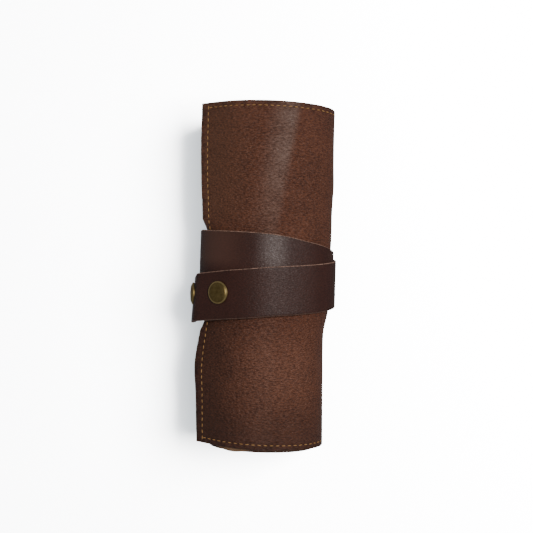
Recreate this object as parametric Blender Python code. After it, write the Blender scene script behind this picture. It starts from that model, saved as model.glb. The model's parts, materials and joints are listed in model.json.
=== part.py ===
"""Roll-up leather pencil case, closed: a wound roll tied round its waist by a snap strap.

Metres, +Z up. The roll lies on its back along Y, its free flap edge on the -X side.
The origin is on the floor, under the middle of the closed case.
"""
import math

import bmesh
import bpy
from mathutils import Matrix, Vector

# Roll
PANEL_LENGTH = 0.213       # along Y, the flap's own edge to edge
SKEW = 0.003               # how far the inner turns slide out at the -Y end
HALF_WIDTH = 0.0402        # at mid length, before the waist is pulled in
END_FLARE = 0.0008         # half width gained at the +Y end and lost at the -Y end
CROWN = 0.024              # top of the roll above its centre line
BELLY = 0.020              # flat underside below its centre line
WAIST_SIDE = 0.0015        # pull of the strap on each side
WAIST_TOP = 0.001
WAIST_SPARE = 0.0012       # the tied waist reaches this far past the strap
WAIST_FADE = 0.032         # length over which the waist opens out again
TURNS = 2.55               # turns of the roll after the flap's free part
FLAP_FREE = 0.0105         # straight free part of the flap

# Sheets, from the outside in
GAP = 0.0003               # between sheets that touch
PANEL_THICK = 0.0016
LINING_THICK = 0.0009
POCKET_THICK = 0.0007
TURN_SPACE = 0.0006        # between the pocket's seams and the next turn
LINING_INSET = 0.0005
POCKET_START = 190.0       # winding degrees
POCKET_END = 880.0
POCKET_TOP = 0.020
POCKET_FOOT = 0.004        # pocket's lower edge above the panel's
POCKET_SEAMS = 8

# Thread
THREAD_WIDE = 0.0008
THREAD_THICK = 0.0003
STITCH_INSET = 0.0035

# Strap
STRAP_WIDE = 0.030
STRAP_THICK = 0.0018
STRAP_STAND = 0.0009       # room under the first turn for the flap's thread
STRAP_SPACE = 0.0004       # between turns of the strap
TIP_STAND = 0.0007         # the stiff tip stands off the turn below it
HINGE_GAP = 0.0004
ROLL_CLEAR = 0.0007        # the roll's underside and its thread stay off the floor
# Polar angle along the strap in degrees, and its centre line's Y there.
STRAP_ROUTE = (
    (110.0, -0.0103), (132.0, -0.0103), (180.0, -0.0086), (270.0, -0.0021), (360.0, 0.0037),
    (416.0, 0.0086), (446.0, 0.0112), (500.0, 0.0119), (545.0, 0.0117), (630.0, 0.0039),
    (720.0, -0.0037), (810.0, -0.0093), (852.0, -0.0116), (894.0, -0.0134), (930.0, -0.0149),
)

# Snaps
CAP_RADIUS = 0.007
CAP_HEIGHT = 0.0024
RIVET_RADIUS = 0.0014
RIVET_CLEAR = 0.0003
SOCKET_RADIUS = 0.005
SOCKET_RECESS = 0.0034
SOCKET_DEEP = 0.0016
STUD_FLANGE = 0.0042
STUD_BALL = 0.002
POST_HEAD = 0.004
SNAP_RAISE = 0.0013        # snaps sit this far above the strap's centre line

# Angles, in degrees round the roll from +X over the top
SNAP_ANGLE = 132.0
SEAT = 20.0                # flat seat under the front snap
TIP_SNAP = 174.0
TIP_END = 208.0
STEPS = 28                 # facets round the rest of a turn

TURN = 360.0
FLAP_ANGLE = SNAP_ANGLE + SEAT / 2
FACET = (TURN - SEAT) / STEPS
FLAP_SPREAD = 2 * FACET    # covered by the free part where the strap presses it down
TAIL_ROOT = 2 * TURN + FLAP_ANGLE - SEAT - 7 * FACET
TAIL_BEND = 2 * TURN + FLAP_ANGLE - SEAT - FACET
TIP_BEND = 2 * TURN + FLAP_ANGLE + FACET
STEP_IN = (262.0, 350.0)   # winding degrees where each turn tucks under the one before
STEP_OUT = (50.0, 110.0)   # polar degrees where each strap turn climbs over the one before

STRAP_LEAD = STRAP_THICK + STRAP_SPACE
WAIST_UNDER = STRAP_STAND + STRAP_LEAD + STRAP_THICK - ROLL_CLEAR
WAIST_HALF = STRAP_WIDE / 2 + max(abs(middle) for _, middle in STRAP_ROUTE) + WAIST_SPARE
CENTRE_Z = BELLY + ROLL_CLEAR
LINING_DEPTH = PANEL_THICK + GAP
POCKET_DEPTH = LINING_DEPTH + LINING_THICK + GAP
SEAM_DEPTH = POCKET_DEPTH + POCKET_THICK + GAP
TURN_PITCH = SEAM_DEPTH + THREAD_THICK + TURN_SPACE
Y_TOP = (PANEL_LENGTH + SKEW) / 2
Y_FOOT = Y_TOP - PANEL_LENGTH
FACETS_ROUND = 24          # facets round a snap part

ROLL_LEATHER = ("roll_leather", (0.125, 0.048, 0.024), 0.62, 0.0)
STRAP_LEATHER = ("strap_leather", (0.055, 0.024, 0.017), 0.48, 0.0)
LINING_LEATHER = ("lining_leather", (0.30, 0.17, 0.09), 0.85, 0.0)
THREAD = ("thread", (0.42, 0.20, 0.05), 0.8, 0.0)
ANTIQUE_BRASS = ("antique_brass", (0.13, 0.10, 0.045), 0.4, 1.0)


def smooth(value):
    """Ease from 0 to 1 while value goes from 0 to 1."""
    value = min(max(value, 0.0), 1.0)
    return value * value * (3.0 - 2.0 * value)


def waist(y):
    """1 under the strap, 0 where the roll has its full width."""
    return 1.0 - smooth((abs(y) - WAIST_HALF) / WAIST_FADE)


def section(angle, depth, y):
    """Point of the roll's section, set in from its outside by depth."""
    turn = math.radians(angle)
    pinch = waist(y)
    flare = END_FLARE * y / Y_TOP * (1.0 - pinch)
    across = HALF_WIDTH + flare - WAIST_SIDE * pinch - depth
    if math.sin(turn) >= 0.0:
        rise = (CROWN - WAIST_TOP * pinch - depth) * math.sin(turn)
    else:
        lift = WAIST_UNDER * pinch + depth
        rise = max((CROWN - lift) * math.sin(turn), lift - BELLY)
    return Vector((across * math.cos(turn), y, CENTRE_Z + rise))


def tuck(wind):
    """Depth that the winding has reached."""
    if wind <= 0.0:
        return 0.0
    turns, part = divmod(wind, TURN)
    return TURN_PITCH * (turns + smooth((part - STEP_IN[0]) / (STEP_IN[1] - STEP_IN[0])))


def on_facet(corner_point, angle):
    """Point on the flat facet at a polar angle, between its two corners."""
    turns, part = divmod(angle - FLAP_ANGLE, TURN)
    low = min(math.floor(part / FACET) * FACET, TURN - SEAT)
    high = TURN if part >= TURN - SEAT else low + FACET
    base = turns * TURN + FLAP_ANGLE
    share = (part - low) / (high - low)
    return corner_point(base + low).lerp(corner_point(base + high), share)


def roll_corner(wind, depth, y):
    """Corner of the rolled sheet: wind is 0 at the flap's bend, below 0 on its free part."""
    y = y - SKEW * min(max(wind, 0.0), TURN) / TURN
    pressed = section(FLAP_ANGLE - wind, depth + tuck(wind), y)
    if wind >= 0.0:
        return pressed
    root = section(FLAP_ANGLE, depth, y)
    ahead = section(FLAP_ANGLE + 1.0, depth, y)
    straight = root + (ahead - root).normalized() * (-wind * FLAP_FREE / FLAP_SPREAD)
    return pressed.lerp(straight, 1.0 - waist(y))


def roll_point(wind, depth, y):
    """Point of the rolled sheet at any winding."""
    return on_facet(lambda angle: roll_corner(FLAP_ANGLE - angle, depth, y), FLAP_ANGLE - wind)


def route_y(angle):
    """Strap's centre line, a smooth curve through its route."""
    last = len(STRAP_ROUTE) - 1
    index = 0
    while index < last - 1 and angle > STRAP_ROUTE[index + 1][0]:
        index += 1
    near = [STRAP_ROUTE[min(max(index + step, 0), last)] for step in (-1, 0, 1, 2)]
    (_, before), (start, low), (stop, high), (_, after) = near
    t = min(max((angle - start) / (stop - start), 0.0), 1.0)
    pull = (high - before) / 2
    push = (after - low) / 2
    bend = pull + push + 2 * (low - high)
    return low + t * (pull + t * (3 * (high - low) - 2 * pull - push + t * bend))


def strap_corner(angle, height):
    """Corner of the strap over the waist, at a height from the strap's inner face."""
    turns, part = divmod(angle, TURN)
    layer = turns - 1 + smooth((part - STEP_OUT[0]) / (STEP_OUT[1] - STEP_OUT[0]))
    return section(angle, -(STRAP_STAND + STRAP_LEAD * layer + height), 0.0)


def strap_point(angle, height, y):
    """Point of the strap at any polar angle."""
    point = on_facet(lambda corner: strap_corner(corner, height), angle)
    point.y = y
    return point


def facet_angles(start, stop):
    """Facet corners between two polar angles, shared by the roll and the strap."""
    marks = []
    base = math.floor(start / TURN) * TURN - TURN
    while base < stop + TURN:
        marks.append(base + FLAP_ANGLE)
        marks += [base + FLAP_ANGLE + FACET * step for step in range(1, STEPS)]
        marks.append(base + FLAP_ANGLE + FACET * STEPS)
        base += TURN
    inner = [mark for mark in marks if start + 1.0 < mark < stop - 1.0]
    return [start] + inner + [stop]


def winding_stations(start, stop):
    """Windings of the facet corners from start to stop."""
    angles = facet_angles(FLAP_ANGLE - stop, FLAP_ANGLE - start)
    return [FLAP_ANGLE - angle for angle in reversed(angles)]


def length_stations(low, high):
    """Y stations that follow the waist's opening."""
    fade = [WAIST_HALF + WAIST_FADE * share for share in (0.0, 0.25, 0.5, 0.75, 1.0)]
    marks = [-value for value in reversed(fade)] + fade
    return [low] + [mark for mark in marks if low + 0.001 < mark < high - 0.001] + [high]


def material(recipe):
    """Principled material from a (name, colour, roughness, metallic) recipe."""
    name, colour, roughness, metallic = recipe
    found = bpy.data.materials.new(name)
    found.use_nodes = True
    shader = found.node_tree.nodes["Principled BSDF"]
    shader.inputs["Base Color"].default_value = (*colour, 1.0)
    shader.inputs["Roughness"].default_value = roughness
    shader.inputs["Metallic"].default_value = metallic
    return found


def add_object(name, bm, recipe, origin=(0.0, 0.0, 0.0)):
    """Object with its origin at the given point and its faces pointing out."""
    bmesh.ops.recalc_face_normals(bm, faces=bm.faces)
    bmesh.ops.triangulate(bm, faces=bm.faces)
    bmesh.ops.translate(bm, verts=bm.verts, vec=-Vector(origin))
    mesh = bpy.data.meshes.new(name)
    bm.to_mesh(mesh)
    bm.free()
    mesh.shade_smooth()
    mesh.set_sharp_from_angle(angle=math.radians(35))
    mesh.materials.append(material(recipe))
    obj = bpy.data.objects.new(name, mesh)
    obj.location = origin
    bpy.context.collection.objects.link(obj)
    return obj


def slab(name, rows, recipe, origin=(0.0, 0.0, 0.0)):
    """Closed sheet: each row is a list of (outer, inner) point pairs."""
    bm = bmesh.new()
    grid = [[[bm.verts.new(point) for point in pair] for pair in row] for row in rows]
    last_row = len(grid) - 1
    last_pair = len(grid[0]) - 1
    for side in (0, 1):
        for i in range(last_row):
            for j in range(last_pair):
                corners = (grid[i][j], grid[i + 1][j], grid[i + 1][j + 1], grid[i][j + 1])
                bm.faces.new([pair[side] for pair in corners])
    rim = [grid[i][0] for i in range(last_row)]
    rim += [grid[last_row][j] for j in range(last_pair)]
    rim += [grid[i][last_pair] for i in range(last_row, 0, -1)]
    rim += [grid[0][j] for j in range(last_pair, 0, -1)]
    for here, there in zip(rim, rim[1:] + rim[:1]):
        bm.faces.new((here[0], here[1], there[1], there[0]))
    return add_object(name, bm, recipe, origin)


def rolled_sheet(name, winds, ys, depth, thick, recipe):
    """Sheet that follows the roll between two windings and two lengths."""
    rows = []
    for wind in winds:
        rows.append([(roll_point(wind, depth, y), roll_point(wind, depth + thick, y)) for y in ys])
    return slab(name, rows, recipe)


def strap_piece(name, angles, origin=(0.0, 0.0, 0.0), stands=None):
    """Length of strap between two polar angles."""
    rows = []
    for index, angle in enumerate(angles):
        stand = stands[index] if stands else 0.0
        middle = route_y(angle)
        ys = (middle - STRAP_WIDE / 2, middle + STRAP_WIDE / 2)
        rows.append([(strap_point(angle, stand + STRAP_THICK, y), strap_point(angle, stand, y))
                     for y in ys])
    return slab(name, rows, STRAP_LEATHER, origin)


def turned(name, profile, seat, recipe, origin=(0.0, 0.0, 0.0)):
    """Turned part from (radius, height) points, on a seat frame whose Z points outwards."""
    bm = bmesh.new()
    rings = []
    for radius, height in profile:
        if radius == 0.0:
            rings.append([bm.verts.new((0.0, 0.0, height))])
            continue
        ring = []
        for step in range(FACETS_ROUND):
            turn = 2.0 * math.pi * step / FACETS_ROUND
            ring.append(bm.verts.new((radius * math.cos(turn), radius * math.sin(turn), height)))
        rings.append(ring)
    for low, high in zip(rings, rings[1:]):
        for step in range(FACETS_ROUND):
            after = (step + 1) % FACETS_ROUND
            corners = [low[step % len(low)], low[after % len(low)]]
            corners += [high[after % len(high)], high[step % len(high)]]
            bm.faces.new(list(dict.fromkeys(corners)))
    bmesh.ops.transform(bm, matrix=seat, verts=bm.verts)
    return add_object(name, bm, recipe, origin)


def seat_frame(start, stop, y):
    """Frame on the middle of a flat facet, Z pointing out and Y along the case."""
    z_axis = (stop - start).cross(Vector((0.0, 1.0, 0.0))).normalized()
    middle = (start + stop) / 2
    if z_axis.dot(middle - Vector((0.0, middle.y, CENTRE_Z))) < 0.0:
        z_axis.negate()
    y_axis = Vector((0.0, 1.0, 0.0))
    frame = Matrix.Identity(4)
    for column, axis in enumerate((y_axis.cross(z_axis), y_axis, z_axis)):
        frame.col[column] = (*axis, 0.0)
    frame.col[3] = (middle.x, y, middle.z, 1.0)
    return frame


def strap_seat(angles, height, y):
    """Seat frame on the strap between two polar angles."""
    ends = [strap_point(angle, height, y) for angle in angles]
    return seat_frame(ends[0], ends[1], y)


def bore(target, seat, low, high, radius):
    """Cut a round hole through a sheet, from one height to another over a seat."""
    profile = ((0.0, low), (radius, low), (radius, high), (0.0, high))
    cutter = turned(target.name + "_bore", profile, seat, STRAP_LEATHER)
    cutter.hide_render = True
    cutter.display_type = "WIRE"
    cut = target.modifiers.new("bore", "BOOLEAN")
    cut.operation = "DIFFERENCE"
    cut.object = cutter


def hinge_point(angle):
    """Where a strap hinge's axis runs: on the strap's outer face."""
    return strap_point(angle, STRAP_THICK, route_y(angle))


def gap_degrees(angle):
    """Half of the hinge gap as an angle."""
    run = (strap_point(angle + 1.0, 0.0, 0.0) - strap_point(angle, 0.0, 0.0)).length
    return HINGE_GAP / 2 / run


def make_roll():
    """Outer panel, lining and pencil pocket, wound up together."""
    winds = winding_stations(-FLAP_SPREAD, TURNS * TURN)
    panel = rolled_sheet("outer_panel", winds, length_stations(Y_FOOT, Y_TOP), 0.0,
                         PANEL_THICK, ROLL_LEATHER)
    inset = LINING_INSET * FLAP_SPREAD / FLAP_FREE
    winds = winding_stations(inset - FLAP_SPREAD, TURNS * TURN - inset)
    ys = length_stations(Y_FOOT + LINING_INSET, Y_TOP - LINING_INSET)
    lining = rolled_sheet("lining_panel", winds, ys, LINING_DEPTH, LINING_THICK, LINING_LEATHER)
    winds = winding_stations(POCKET_START, POCKET_END)
    ys = length_stations(Y_FOOT + POCKET_FOOT, POCKET_TOP)
    rolled_sheet("pencil_pocket", winds, ys, POCKET_DEPTH, POCKET_THICK, LINING_LEATHER)
    return panel, lining


def make_threads():
    """Edge stitching and the pocket's dividing seams, each as one flat run of thread."""
    raised = -(GAP + THREAD_THICK)
    stitch_wind = STITCH_INSET * FLAP_SPREAD / FLAP_FREE - FLAP_SPREAD
    half_wind = THREAD_WIDE / 2 * FLAP_SPREAD / FLAP_FREE
    winds = (stitch_wind - half_wind, stitch_wind + half_wind)
    ys = length_stations(Y_FOOT + STITCH_INSET, Y_TOP - STITCH_INSET)
    rolled_sheet("front_edge_thread", winds, ys, raised, THREAD_THICK, THREAD)
    along = winding_stations(stitch_wind + 3 * half_wind, TURNS * TURN - 2 * half_wind)
    for name, y in (("top_edge_thread", Y_TOP - STITCH_INSET),
                    ("bottom_edge_thread", Y_FOOT + STITCH_INSET)):
        ys = (y - THREAD_WIDE / 2, y + THREAD_WIDE / 2)
        rolled_sheet(name, along, ys, raised, THREAD_THICK, THREAD)
    ys = length_stations(Y_FOOT + 2 * POCKET_FOOT, POCKET_TOP - POCKET_FOOT)
    for index in range(POCKET_SEAMS):
        wind = POCKET_START + (POCKET_END - POCKET_START) * (index + 0.5) / POCKET_SEAMS
        rolled_sheet(f"pocket_seam_{index + 1}", (wind - half_wind, wind + half_wind), ys,
                     SEAM_DEPTH, THREAD_THICK, THREAD)


def make_strap():
    """The strap's wound part and its three loose lengths, hinged on each other."""
    start = SNAP_ANGLE - SEAT
    root_gap = gap_degrees(TAIL_ROOT)
    bend_gap = gap_degrees(TAIL_BEND)
    tip_gap = gap_degrees(TIP_BEND)
    wound = strap_piece("strap_wrap", facet_angles(start, TAIL_ROOT - root_gap))
    strap_piece("strap_tail", facet_angles(TAIL_ROOT + root_gap, TAIL_BEND - bend_gap),
                hinge_point(TAIL_ROOT))
    middle = strap_piece("strap_mid", facet_angles(TAIL_BEND + bend_gap, TIP_BEND - tip_gap),
                         hinge_point(TAIL_BEND))
    seat = [2 * TURN + TIP_SNAP - SEAT / 2, 2 * TURN + TIP_SNAP + SEAT / 2]
    angles = [TIP_BEND + tip_gap] + seat + [2 * TURN + TIP_END - 12.0, 2 * TURN + TIP_END]
    tip = strap_piece("strap_tip", angles, hinge_point(TIP_BEND), [0.0] + [TIP_STAND] * 4)
    return wound, middle, tip


def make_cap_and_socket(place, leather, angles, stand, origin):
    """Domed cap on the strap's outer face, its rivet through the strap, and the socket."""
    y = route_y((angles[0] + angles[1]) / 2) + SNAP_RAISE
    outside = strap_seat(angles, stand + STRAP_THICK, y)
    inside = strap_seat(angles, stand, y)
    dome = ((0.0, -STRAP_THICK), (RIVET_RADIUS, -STRAP_THICK), (RIVET_RADIUS, GAP),
            (CAP_RADIUS, GAP), (CAP_RADIUS, 0.0008), (CAP_RADIUS * 0.95, 0.0013),
            (CAP_RADIUS * 0.72, 0.0019), (CAP_RADIUS * 0.38, 0.0023), (0.0, CAP_HEIGHT))
    turned("snap_cap_" + place, dome, outside, ANTIQUE_BRASS, origin)
    lip = SOCKET_RADIUS - 0.0006
    roof = -GAP - 0.0005
    cup = ((0.0, -GAP), (SOCKET_RADIUS, -GAP), (SOCKET_RADIUS, roof), (lip, roof - 0.0002),
           (lip, -SOCKET_DEEP), (SOCKET_RECESS, -SOCKET_DEEP), (SOCKET_RECESS, roof), (0.0, roof))
    turned("snap_socket_" + place, cup, inside, ANTIQUE_BRASS, origin)
    bore(leather, outside, -2 * STRAP_THICK, STRAP_THICK, RIVET_RADIUS + RIVET_CLEAR)


def make_stud(wound, panel, lining):
    """Stud over the strap's fixed end; its rivet runs through strap, flap and lining."""
    angles = (SNAP_ANGLE - SEAT / 2, SNAP_ANGLE + SEAT / 2)
    y = route_y(2 * TURN + SNAP_ANGLE) + SNAP_RAISE
    seat = strap_seat(angles, STRAP_THICK, y)
    pile = seat_frame(section(angles[0], POCKET_DEPTH, 0.0), section(angles[1], POCKET_DEPTH, 0.0), y)
    reach = (seat.translation - pile.translation).dot(seat.col[2].to_3d())
    crown = 2 * STRAP_SPACE + STRAP_THICK - 0.0012
    stud = ((0.0, GAP - reach), (RIVET_RADIUS, GAP - reach), (RIVET_RADIUS, GAP), (STUD_FLANGE, GAP),
            (STUD_FLANGE, 2 * GAP), (STUD_BALL, 2 * GAP), (STUD_BALL, crown - 0.0003),
            (STUD_BALL * 0.8, crown), (0.0, crown))
    turned("snap_stud", stud, seat, ANTIQUE_BRASS)
    head = ((0.0, -0.0006), (POST_HEAD - 0.0005, -0.0006), (POST_HEAD, -0.0003), (POST_HEAD, 0.0),
            (0.0, 0.0))
    turned("snap_post", head, pile, ANTIQUE_BRASS)
    hole = RIVET_RADIUS + RIVET_CLEAR
    bore(wound, seat, -STRAP_THICK - GAP, STRAP_THICK, hole)
    bore(panel, seat, -reach - GAP, -STRAP_THICK, hole)
    bore(lining, seat, -reach - GAP, -STRAP_THICK, hole)


def centre_shift():
    """Move along X that puts the middle of the closed case over the origin."""
    side = 2 * TURN + TIP_SNAP
    seat = strap_seat((side - SEAT / 2, side + SEAT / 2), TIP_STAND + STRAP_THICK, 0.0)
    dome = seat @ Vector((0.0, 0.0, CAP_HEIGHT))
    right = max(strap_point(angle, STRAP_THICK, 0.0).x for angle in facet_angles(TURN, TAIL_ROOT))
    return -(dome.x + right) / 2


def make_case():
    """The whole closed pencil case."""
    for obj in list(bpy.data.objects):
        bpy.data.objects.remove(obj, do_unlink=True)
    panel, lining = make_roll()
    make_threads()
    wound, middle, tip = make_strap()
    make_stud(wound, panel, lining)
    front = 2 * TURN + SNAP_ANGLE
    side = 2 * TURN + TIP_SNAP
    make_cap_and_socket("front", middle, (front - SEAT / 2, front + SEAT / 2), 0.0,
                        hinge_point(TAIL_BEND))
    make_cap_and_socket("side", tip, (side - SEAT / 2, side + SEAT / 2), TIP_STAND,
                        hinge_point(TIP_BEND))
    shift = centre_shift()
    for obj in bpy.data.objects:
        obj.location.x += shift


make_case()
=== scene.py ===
"""Looks of the closed roll-up leather pencil case: sheets, stitching, strap and snaps."""
import json
import math

import bmesh
import bpy
from mathutils import Matrix, Vector, noise


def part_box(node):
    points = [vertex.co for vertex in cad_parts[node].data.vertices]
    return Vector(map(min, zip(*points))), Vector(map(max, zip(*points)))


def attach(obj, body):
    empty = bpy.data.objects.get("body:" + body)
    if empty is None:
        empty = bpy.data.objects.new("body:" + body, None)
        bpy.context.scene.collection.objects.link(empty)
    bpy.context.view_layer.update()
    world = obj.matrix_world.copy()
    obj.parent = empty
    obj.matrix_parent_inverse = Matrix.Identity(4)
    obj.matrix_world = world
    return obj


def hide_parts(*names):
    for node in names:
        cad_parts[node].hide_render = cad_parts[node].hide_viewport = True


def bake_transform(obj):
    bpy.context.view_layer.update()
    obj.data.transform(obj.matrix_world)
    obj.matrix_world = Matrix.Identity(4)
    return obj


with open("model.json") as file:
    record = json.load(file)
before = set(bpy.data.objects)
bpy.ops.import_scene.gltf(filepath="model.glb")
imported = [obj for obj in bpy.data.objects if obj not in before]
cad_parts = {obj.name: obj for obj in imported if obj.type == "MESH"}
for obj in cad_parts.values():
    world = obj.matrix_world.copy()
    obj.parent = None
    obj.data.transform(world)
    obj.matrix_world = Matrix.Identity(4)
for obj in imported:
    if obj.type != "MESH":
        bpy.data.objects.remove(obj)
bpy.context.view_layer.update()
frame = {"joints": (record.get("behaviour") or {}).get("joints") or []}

# ---- Sizes, in metres ----
PANEL_LOW, PANEL_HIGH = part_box("outer_panel")
HINGES = {joint["name"]: Vector(joint["pos_m"]) for joint in frame["joints"]}

PANEL_THICK = 0.0016
LINING_THICK = 0.0009
POCKET_THICK = 0.0007
SHEET_GAP = 0.0003         # between sheets that touch
TURN_PITCH = 0.005         # from one turn of the roll to the next
STRAP_THICK = 0.0016
STRAP_STAND = 0.0006       # room under the strap's first turn for the flap's thread
STRAP_LEAD = 0.0017        # from one turn of the strap to the next
STRAP_WIDE = 0.030
STITCH_INSET = 0.0034      # the stitching's distance from the two end edges
FRONT_INSET = 0.0057       # and from the flap's free edge
STITCH_PITCH = 0.0037
STITCH_LENGTH = 0.0025
THREAD_RADIUS = 0.00030
SEAM_RADIUS = 0.00026      # the pocket's finer thread
GROOVE_HALF = 0.00045      # the stitching's groove in the leather
GROOVE_DEPTH = 0.00028
WAIST_SIDE = 0.0015        # the strap's pull on each side
WAIST_TOP = 0.001
WAIST_HALF = 0.031         # half the length that the strap pulls in
WAIST_FADE = 0.032         # length over which the waist opens out again
END_FLARE = 0.0008
SKEW = 0.003               # how far the inner turns slide out at the foot
TIP_STAND = 0.0030         # the strap's stiff tip stands off the turn below it
TIP_TWIST = 0.0018         # more at its lower edge than at its upper one
TIP_CORNER = 0.009         # radius of the tip's two corners
HALF_WIDTH = 0.0402        # at mid length, before the waist is pulled in
ROLL_CLEAR = PANEL_LOW.z
FLOOR_CLEAR = 0.0001
WAVE_HIGH = 0.0004         # waviness of the hand-rolled leather
PUCKER_HIGH = 0.0009       # its puckers beside the strap
CORNER_SPREAD = 0.0022     # easing of the underside's corners
LINING_INSET = 0.0005
HOLD_HALF = 0.0265         # half the length over which the strap presses the flap down
HOLD_FADE = 0.0095
NEAR_REACH = 0.0034        # reach of the handled zone in from a cut edge

CENTRE_X = PANEL_HIGH.x - HALF_WIDTH - END_FLARE
BELLY = 0.020              # flat underside below the roll's centre line
CENTRE_Z = BELLY + ROLL_CLEAR
CROWN = PANEL_HIGH.z - CENTRE_Z
WAIST_UNDER = STRAP_STAND + STRAP_LEAD + STRAP_THICK - ROLL_CLEAR + FLOOR_CLEAR
Y_TOP = PANEL_HIGH.y
Y_FOOT = PANEL_LOW.y + SKEW
LINING_DEPTH = PANEL_THICK + SHEET_GAP
POCKET_DEPTH = LINING_DEPTH + LINING_THICK + SHEET_GAP

# Winding angles, in degrees from the flap's bend
TURN = 360.0
FLAP_ANGLE = 142.0         # polar angle of the flap's bend
FREE_WIND = -24.0          # the flap's free edge
FREE_START = 6.0           # where its free part leaves the roll
WIND_END = 918.0
STEP_IN = (262.0, 350.0)   # where each turn tucks under the one before
POCKET_WIND = (190.0, 880.0)
POCKET_TOP = 0.020
POCKET_FOOT = 0.004        # the pocket's lower edge above the panel's
POCKET_SEAMS = 8

# Polar angles of the strap, in degrees
STRAP_START = 112.0
STUD_ANGLE = 132.0
SNAP_ANGLE = 2 * TURN + STUD_ANGLE
SIDE_SNAP = 2 * TURN + 174.0
TIP_END = 2 * TURN + 208.0
STEP_OUT = (50.0, 110.0)   # where each turn of the strap climbs over the one before
SEAT_HALF = 10.0           # half span of the flat seat under a snap
SEAT_REACH = 3.0           # the seat eases out this far past its ends
SEAT_FADE = 4.0
FLAT_SEATS = ((STUD_ANGLE, SEAT_HALF), (SNAP_ANGLE, SEAT_HALF), (SIDE_SNAP, 14.0))   # (middle, half span)
# The strap's centre line: (polar angle, Y).
STRAP_ROUTE = (
    (110.0, -0.0103), (132.0, -0.0103), (180.0, -0.0086), (270.0, -0.0021), (360.0, 0.0016),
    (416.0, 0.0077), (446.0, 0.0113), (500.0, 0.0128), (545.0, 0.0128), (630.0, 0.0042),
    (720.0, -0.0033), (810.0, -0.0088), (852.0, -0.0120), (894.0, -0.0152), (930.0, -0.0176),
)
# The flap's free edge along its length: (Y, X).
FLAP_EDGE = (
    (-0.108, -0.0394), (-0.090, -0.0402), (-0.074, -0.0410), (-0.058, -0.0422), (-0.046, -0.0411),
    (-0.036, -0.0394), (-0.028, -0.0388), (0.028, -0.0392), (0.036, -0.0398), (0.044, -0.0402),
    (0.056, -0.0411), (0.080, -0.0421), (0.108, -0.0422),
)
# Uneven fullness of the hand-wound roll on its right and left side: (Y, metres outwards).
RIGHT_SIDE = (
    (-0.108, -0.0008), (-0.092, -0.0012), (-0.075, -0.0019), (-0.055, -0.0024), (-0.045, -0.0021),
    (-0.033, -0.0013), (-0.020, 0.0012), (0.010, 0.0014), (0.031, 0.0019), (0.050, 0.0006),
    (0.070, 0.0), (0.095, -0.0005), (0.108, -0.0006),
)
LEFT_SIDE = (
    (-0.108, -0.0005), (-0.050, 0.0), (-0.032, 0.0012), (-0.018, 0.0008), (0.018, 0.0006),
    (0.032, 0.0014), (0.050, 0.0008), (0.108, 0.0005),
)


# ---- Shape of the roll and the strap ----

def smooth(value):
    """Ease from 0 to 1 while value goes from 0 to 1."""
    value = min(max(value, 0.0), 1.0)
    return value * value * (3.0 - 2.0 * value)


def through(points, place):
    """Value of a smooth curve through (place, value) points."""
    last = len(points) - 1
    index = 0
    while index < last - 1 and place > points[index + 1][0]:
        index += 1
    near = [points[min(max(index + step, 0), last)] for step in (-1, 0, 1, 2)]
    (_, before), (start, low), (stop, high), (_, after) = near
    t = min(max((place - start) / (stop - start), 0.0), 1.0)
    pull = (high - before) / 2
    push = (after - low) / 2
    return low + t * (pull + t * (3 * (high - low) - 2 * pull - push + t * (pull + push + 2 * (low - high))))


def waist(y):
    """1 under the strap, 0 where the roll has its full width."""
    return 1.0 - smooth((abs(y) - WAIST_HALF) / WAIST_FADE)


def unevenness(turn, y):
    """Hand-rolled waviness of the leather, the same for every layer at one place."""
    place = Vector((math.cos(turn) * 1.3, math.sin(turn) * 1.3, y * 26.0))
    wave = noise.noise(place) * WAVE_HIGH
    near_strap = smooth((abs(y) - 0.028) / 0.01) * (1.0 - smooth((abs(y) - 0.040) / 0.035))
    pucker = noise.noise(Vector((turn * 3.2, 7.0 if y > 0 else 3.0, y * 9.0))) * PUCKER_HIGH * near_strap
    return (wave + pucker) * (1.0 - waist(y) * 0.9)


def section(angle, depth, y):
    """Point of the roll's section, set in from its outside by depth."""
    turn = math.radians(angle)
    pinch = waist(y)
    across = HALF_WIDTH + END_FLARE * y / Y_TOP * (1.0 - pinch) - WAIST_SIDE * pinch - depth
    across += through(RIGHT_SIDE if math.cos(turn) > 0.0 else LEFT_SIDE, y) * math.cos(turn) ** 2
    side = math.sin(turn)
    uneven = unevenness(turn, y)
    if side >= 0.0:
        rise = (CROWN - WAIST_TOP * pinch - depth + uneven) * side
    else:
        lift = WAIST_UNDER * pinch + depth
        fall = (CROWN - lift) * -side
        floor = BELLY - lift
        over = fall - floor
        if over > CORNER_SPREAD:
            fall = floor
        elif over > -CORNER_SPREAD:
            fall = fall - (over + CORNER_SPREAD) ** 2 / (4 * CORNER_SPREAD)
        rise = -fall
    return Vector((CENTRE_X + (across + uneven) * math.cos(turn), y, CENTRE_Z + rise))


def tuck(wind):
    """Depth that the winding has reached."""
    if wind <= 0.0:
        return 0.0
    turns, part = divmod(wind, TURN)
    return TURN_PITCH * (turns + smooth((part - STEP_IN[0]) / (STEP_IN[1] - STEP_IN[0])))


def roll_point(wind, depth, y):
    """Point of the rolled sheet: wind is 0 at the flap's bend, below 0 on its free part."""
    y = y - SKEW * min(max(wind, 0.0), TURN) / TURN
    pressed = section(FLAP_ANGLE - wind, depth + tuck(wind), y)
    if wind >= FREE_START:
        return pressed
    root = section(FLAP_ANGLE - FREE_START, depth, y)
    along = (section(FLAP_ANGLE - FREE_START + 2.0, depth, y) - root).normalized()
    run = (through(FLAP_EDGE, y) - root.x) / along.x
    straight = root + along * run * (FREE_START - wind) / (FREE_START - FREE_WIND)
    return pressed.lerp(straight, smooth((abs(y) - HOLD_HALF) / HOLD_FADE))


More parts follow.
